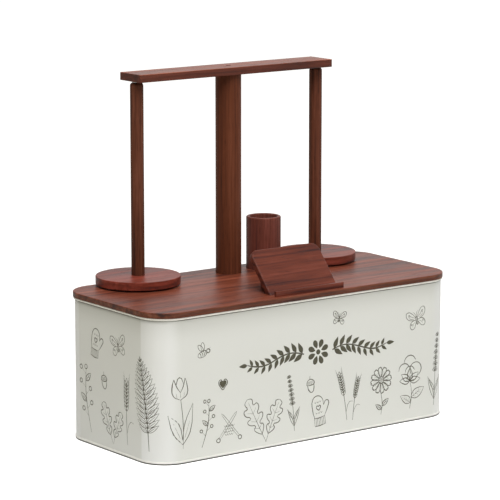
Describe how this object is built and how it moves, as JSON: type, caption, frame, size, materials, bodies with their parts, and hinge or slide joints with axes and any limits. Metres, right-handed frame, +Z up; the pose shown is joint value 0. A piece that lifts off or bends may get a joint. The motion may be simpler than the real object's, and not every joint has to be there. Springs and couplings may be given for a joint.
{
  "type": "yarn dispenser box",
  "caption": "Rounded steel storage tin with a wooden lid carrying a post and top bar, magnet-hung spinning yarn spindles, a hook cup and a sloping phone rest.",
  "frame": {"origin": "centre of the tin's underside, on the surface it stands on", "axes": "+X along the tin to the right, +Y to the back, +Z up; the front with the phone rest faces -Y"},
  "size_m": [0.3536, 0.1725, 0.3435],
  "materials": {
    "cream_enamel": "baked cream enamel on sheet steel, semi-gloss, printed line sketches",
    "walnut_lid": "dark red-brown stained hardwood, satin oil, grain along X",
    "walnut_post": "dark red-brown stained dowel, grain along Z",
    "walnut_bar": "dark red-brown stained hardwood, grain along X",
    "walnut_plug": "end-grain plug, dark red-brown",
    "walnut_spindle": "dark red-brown stained dowel, grain along Z",
    "walnut_disc": "dark red-brown stained hardwood, grain along X",
    "walnut_cup": "dark red-brown stained turned wood, grain along Z",
    "walnut_rest": "dark red-brown stained hardwood, grain along X",
    "plywood": "plain birch plywood, unstained",
    "zinc_steel": "bright zinc-plated steel",
    "nickel_magnet": "nickel-plated magnet",
    "turned_steel": "turned steel",
    "spring_steel": "blackened spring steel",
    "brass_bush": "turned brass"
  },
  "bodies": {
    "tin": {"tin_wall": "cream_enamel", "tin_base": "cream_enamel"},
    "lid": {"lid_board": "walnut_lid", "locating_board": "plywood", "lid_screws": "zinc_steel", "post": "walnut_post", "post_screw": "zinc_steel", "post_washer": "zinc_steel", "top_bar": "walnut_bar", "bar_screw": "zinc_steel", "bar_plug": "walnut_plug", "bar_magnet_left": "nickel_magnet", "bar_magnet_right": "nickel_magnet", "hook_cup": "walnut_cup", "cup_screws": "zinc_steel", "phone_lip": "walnut_rest", "phone_back": "walnut_rest", "phone_brace_left": "walnut_rest", "phone_brace_right": "walnut_rest", "brace_screws": "zinc_steel"},
    "hanger_left": {"swivel_left": "turned_steel", "swivel_clip_left": "spring_steel"},
    "spool_left": {"spindle_left": "walnut_spindle", "spindle_bush_left": "brass_bush", "yarn_disc_left": "walnut_disc", "disc_screw_left": "zinc_steel"},
    "hanger_right": {"swivel_right": "turned_steel", "swivel_clip_right": "spring_steel"},
    "spool_right": {"spindle_right": "walnut_spindle", "spindle_bush_right": "brass_bush", "yarn_disc_right": "walnut_disc", "disc_screw_right": "zinc_steel"}
  },
  "joints": [
    {"name": "lid_lift", "type": "slide", "parent": "tin", "child": "lid", "axis": [0, 0, 1], "range_m": [0, 0.15]},
    {"name": "hanger_left_pull", "type": "slide", "parent": "lid", "child": "hanger_left", "axis": [0, -1, 0], "range_m": [0, 0.18]},
    {"name": "spool_left_spin", "type": "hinge", "parent": "hanger_left", "child": "spool_left", "pos_m": [-0.1065, 0.05275, 0.336], "axis": [0, 0, 1], "continuous": true},
    {"name": "hanger_right_pull", "type": "slide", "parent": "lid", "child": "hanger_right", "axis": [0, -1, 0], "range_m": [0, 0.18]},
    {"name": "spool_right_spin", "type": "hinge", "parent": "hanger_right", "child": "spool_right", "pos_m": [0.1065, 0.05275, 0.336], "axis": [0, 0, 1], "continuous": true}
  ]
}
